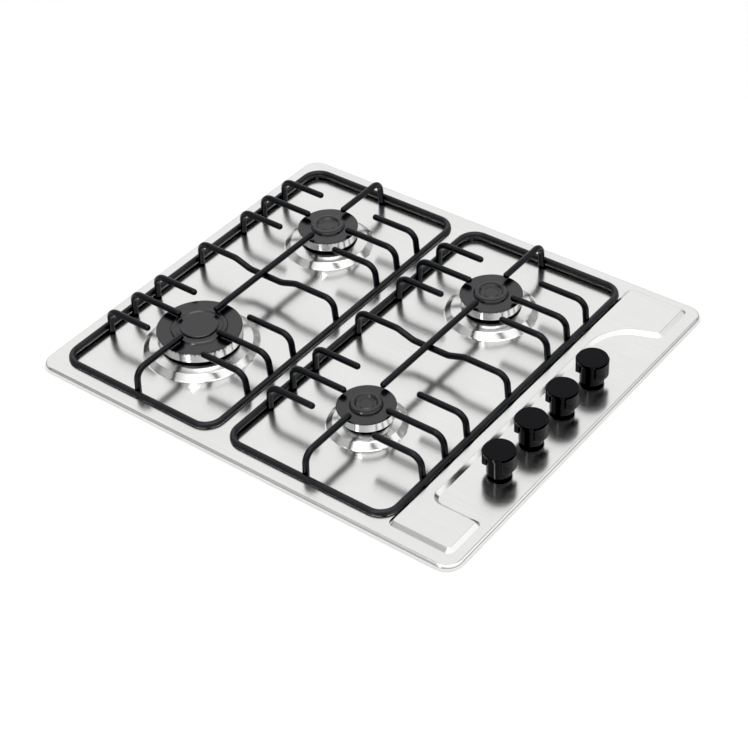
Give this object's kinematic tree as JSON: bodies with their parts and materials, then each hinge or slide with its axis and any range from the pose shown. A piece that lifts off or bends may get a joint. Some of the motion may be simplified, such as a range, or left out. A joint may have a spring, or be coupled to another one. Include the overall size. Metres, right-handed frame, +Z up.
{
  "type": "gas cooktop",
  "caption": "Built-in gas cooktop: pressed steel plate over a burner box, lift-off pan supports, burner caps and spreaders, and a row of push-and-turn knobs along the right side.",
  "frame": {"origin": "centre of the plate in plan, on the worktop: the underside of the folded rim", "axes": "+X from the user's left to right, +Y to the rear, +Z up"},
  "size_m": [0.58, 0.504, 0.0896],
  "materials": {
    "plate_steel": "satin polished stainless steel",
    "box_steel": "aluminised steel sheet",
    "zinc_steel": "zinc-plated steel",
    "black_enamel": "satin black enamel",
    "burner_alloy": "polished die-cast aluminium",
    "cup_alloy": "die-cast aluminium, dark oxidised",
    "pipe_alloy": "drawn aluminium",
    "brass": "machined brass",
    "spring_steel": "bright spring wire",
    "knob_plastic": "gloss black thermoset",
    "rubber": "black silicone rubber",
    "foam": "closed-cell foam strip"
  },
  "bodies": {
    "root": {"top_plate": "plate_steel", "burner_box": "box_steel", "rim_seal": "foam", "box_nuts": "zinc_steel", "fixing_clamps": "zinc_steel", "clamp_screws": "zinc_steel", "burner_rails": "box_steel", "cup_screws": "zinc_steel", "injectors": "brass", "gas_rail": "zinc_steel", "inlet_elbow": "brass", "tap_clamps": "zinc_steel", "tap_clamp_screws": "zinc_steel", "tap_bonnets": "zinc_steel", "bonnet_screws": "zinc_steel", "shaft_seals": "rubber", "pipe_nuts": "brass", "burner_cup_fl": "cup_alloy", "burner_cup_fr": "cup_alloy", "burner_cup_rl": "cup_alloy", "burner_cup_rr": "cup_alloy", "feed_pipe_fl": "pipe_alloy", "feed_pipe_fr": "pipe_alloy", "feed_pipe_rl": "pipe_alloy", "feed_pipe_rr": "pipe_alloy", "tap_body_1": "brass", "tap_body_2": "brass", "tap_body_3": "brass", "tap_body_4": "brass"},
    "support_left": {"support_left_frame": "black_enamel", "support_left_fingers": "black_enamel", "support_left_feet": "rubber"},
    "support_right": {"support_right_frame": "black_enamel", "support_right_fingers": "black_enamel", "support_right_feet": "rubber"},
    "cap_fl": {"burner_cap_fl": "black_enamel"},
    "spreader_fl": {"flame_spreader_fl": "burner_alloy"},
    "cap_fr": {"burner_cap_fr": "black_enamel"},
    "spreader_fr": {"flame_spreader_fr": "burner_alloy"},
    "cap_rl": {"burner_cap_rl": "black_enamel"},
    "spreader_rl": {"flame_spreader_rl": "burner_alloy"},
    "cap_rr": {"burner_cap_rr": "black_enamel"},
    "spreader_rr": {"flame_spreader_rr": "burner_alloy"},
    "plug_1": {"tap_plug_1": "brass", "tap_spring_1": "spring_steel"},
    "knob_1": {"tap_stem_1": "zinc_steel", "knob_1": "knob_plastic"},
    "plug_2": {"tap_plug_2": "brass", "tap_spring_2": "spring_steel"},
    "knob_2": {"tap_stem_2": "zinc_steel", "knob_2": "knob_plastic"},
    "plug_3": {"tap_plug_3": "brass", "tap_spring_3": "spring_steel"},
    "knob_3": {"tap_stem_3": "zinc_steel", "knob_3": "knob_plastic"},
    "plug_4": {"tap_plug_4": "brass", "tap_spring_4": "spring_steel"},
    "knob_4": {"tap_stem_4": "zinc_steel", "knob_4": "knob_plastic"}
  },
  "joints": [
    {"name": "support_left_lift", "type": "slide", "parent": "root", "child": "support_left", "axis": [0, 0, 1], "range_m": [0, 0.12]},
    {"name": "support_right_lift", "type": "slide", "parent": "root", "child": "support_right", "axis": [0, 0, 1], "range_m": [0, 0.12]},
    {"name": "cap_fl_lift", "type": "slide", "parent": "root", "child": "cap_fl", "axis": [0, 0, 1], "range_m": [0, 0.06]},
    {"name": "spreader_fl_lift", "type": "slide", "parent": "root", "child": "spreader_fl", "axis": [0, 0, 1], "range_m": [0, 0.03]},
    {"name": "cap_fr_lift", "type": "slide", "parent": "root", "child": "cap_fr", "axis": [0, 0, 1], "range_m": [0, 0.06]},
    {"name": "spreader_fr_lift", "type": "slide", "parent": "root", "child": "spreader_fr", "axis": [0, 0, 1], "range_m": [0, 0.03]},
    {"name": "cap_rl_lift", "type": "slide", "parent": "root", "child": "cap_rl", "axis": [0, 0, 1], "range_m": [0, 0.06]},
    {"name": "spreader_rl_lift", "type": "slide", "parent": "root", "child": "spreader_rl", "axis": [0, 0, 1], "range_m": [0, 0.03]},
    {"name": "cap_rr_lift", "type": "slide", "parent": "root", "child": "cap_rr", "axis": [0, 0, 1], "range_m": [0, 0.06]},
    {"name": "spreader_rr_lift", "type": "slide", "parent": "root", "child": "spreader_rr", "axis": [0, 0, 1], "range_m": [0, 0.03]},
    {"name": "tap_1_turn", "type": "hinge", "parent": "root", "child": "plug_1", "pos_m": [0.2474, -0.1062, -0.0145], "axis": [0, 0, 1], "range_deg": [0, 210]},
    {"name": "knob_1_push", "type": "slide", "parent": "plug_1", "child": "knob_1", "axis": [0, 0, 1], "range_m": [-0.0025, 0], "stiffness_N_per_m": 900, "springref_m": 0.003, "deforming": ["tap_spring_1"]},
    {"name": "tap_2_turn", "type": "hinge", "parent": "root", "child": "plug_2", "pos_m": [0.2474, -0.0462, -0.0145], "axis": [0, 0, 1], "range_deg": [0, 210]},
    {"name": "knob_2_push", "type": "slide", "parent": "plug_2", "child": "knob_2", "axis": [0, 0, 1], "range_m": [-0.0025, 0], "stiffness_N_per_m": 900, "springref_m": 0.003, "deforming": ["tap_spring_2"]},
    {"name": "tap_3_turn", "type": "hinge", "parent": "root", "child": "plug_3", "pos_m": [0.2474, 0.0138, -0.0145], "axis": [0, 0, 1], "range_deg": [0, 210]},
    {"name": "knob_3_push", "type": "slide", "parent": "plug_3", "child": "knob_3", "axis": [0, 0, 1], "range_m": [-0.0025, 0], "stiffness_N_per_m": 900, "springref_m": 0.003, "deforming": ["tap_spring_3"]},
    {"name": "tap_4_turn", "type": "hinge", "parent": "root", "child": "plug_4", "pos_m": [0.2474, 0.0738, -0.0145], "axis": [0, 0, 1], "range_deg": [0, 210]},
    {"name": "knob_4_push", "type": "slide", "parent": "plug_4", "child": "knob_4", "axis": [0, 0, 1], "range_m": [-0.0025, 0], "stiffness_N_per_m": 900, "springref_m": 0.003, "deforming": ["tap_spring_4"]}
  ],
  "couplings": [
    {"joint": "cap_fl_lift", "follows": "support_left_lift", "ratio": 0.5},
    {"joint": "spreader_fl_lift", "follows": "support_left_lift", "ratio": 0.25},
    {"joint": "cap_fr_lift", "follows": "support_right_lift", "ratio": 0.5},
    {"joint": "spreader_fr_lift", "follows": "support_right_lift", "ratio": 0.25},
    {"joint": "cap_rl_lift", "follows": "support_left_lift", "ratio": 0.5},
    {"joint": "spreader_rl_lift", "follows": "support_left_lift", "ratio": 0.25},
    {"joint": "cap_rr_lift", "follows": "support_right_lift", "ratio": 0.5},
    {"joint": "spreader_rr_lift", "follows": "support_right_lift", "ratio": 0.25}
  ]
}
